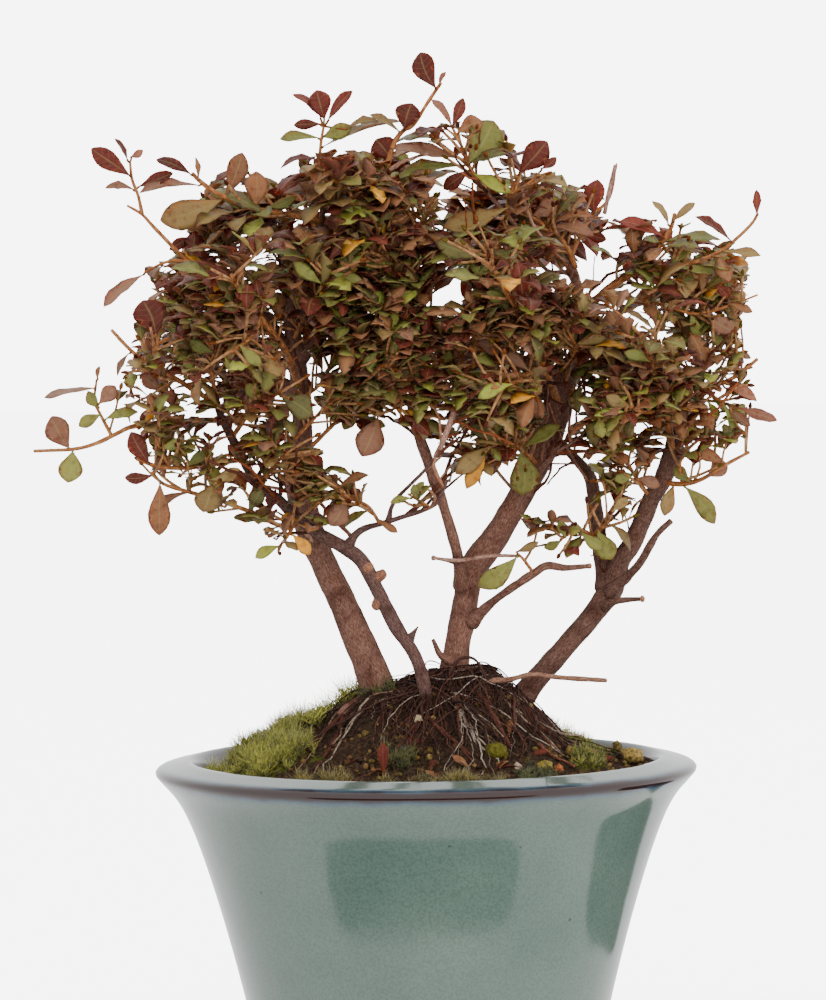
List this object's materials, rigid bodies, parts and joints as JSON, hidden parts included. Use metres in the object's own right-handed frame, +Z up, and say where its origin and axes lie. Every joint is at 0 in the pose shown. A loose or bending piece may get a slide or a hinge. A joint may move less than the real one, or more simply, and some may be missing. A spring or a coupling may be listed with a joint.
{
  "type": "satsuki azalea bonsai in pot",
  "caption": "Satsuki azalea bonsai with leaning, forked trunks and small green and burgundy leaves, on a mossy root mound in a round flared glazed pot.",
  "frame": {"origin": "centre of the pot's flat underside", "axes": "+Z up along the pot's axis; the side in the picture faces -Y, with its right at +X"},
  "size_m": [0.245, 0.1806, 0.3457],
  "materials": {
    "pot_glaze": "gloss celadon glaze that breaks brown at the edges of the lip",
    "screen_mesh": "matt black mesh",
    "potting_soil": "dark, damp and granular, with moss and grit",
    "bark": "thin brown bark with fine cracks along the stem",
    "dead_wood": "dry and dull",
    "leaf_green": "leathery leaf with a soft sheen, green to olive",
    "leaf_burgundy": "leathery leaf with a soft sheen, burgundy with mauve undersides"
  },
  "bodies": {
    "root": {"pot": "pot_glaze", "drain_screen": "screen_mesh", "soil": "potting_soil", "trunk_left": "bark", "trunk_front": "bark", "trunk_center": "bark", "trunk_right": "bark", "dead_stick": "dead_wood", "spray_upper_left_tip": "leaf_burgundy", "spray_upper_left_long": "leaf_green", "spray_top_left": "leaf_green", "spray_left_shoulder": "leaf_burgundy", "spray_left_high": "leaf_green", "spray_left_middle": "leaf_green", "spray_left_rear": "leaf_green", "spray_left_front": "leaf_green", "spray_heart_front": "leaf_burgundy", "spray_heart_left": "leaf_green", "spray_heart_high": "leaf_green", "spray_upper_heart": "leaf_green", "spray_top_middle": "leaf_burgundy", "spray_back_left_high": "leaf_green", "spray_back_left_low": "leaf_green", "spray_far_left": "leaf_green", "spray_low_left": "leaf_green", "spray_low_middle": "leaf_green", "spray_left_outer": "leaf_burgundy", "spray_front_tip": "leaf_green", "spray_front_middle": "leaf_green", "spray_front_low": "leaf_green", "spray_low_yellow": "leaf_green", "spray_arm": "leaf_green", "spray_arm_tip": "leaf_green", "spray_center_low": "leaf_green", "spray_inner_arc": "leaf_burgundy", "spray_inner_top": "leaf_green", "spray_upper_middle": "leaf_green", "spray_crown_front": "leaf_green", "spray_crown_right": "leaf_burgundy", "spray_orange_twig": "leaf_burgundy", "spray_crown_rear": "leaf_burgundy", "spray_center_high": "leaf_green", "spray_center_front": "leaf_green", "spray_center_middle": "leaf_green", "spray_knob": "leaf_green", "spray_low_sprig": "leaf_green", "spray_back_center_high": "leaf_green", "spray_back_center_low": "leaf_green", "spray_right_top": "leaf_green", "spray_right_middle": "leaf_green", "spray_right_lower": "leaf_green", "spray_right_tip": "leaf_burgundy", "spray_right_low": "leaf_green", "spray_right_front": "leaf_green", "spray_fork": "leaf_green", "spray_right_inner": "leaf_green", "spray_back_right": "leaf_green"}
  },
  "joints": []
}
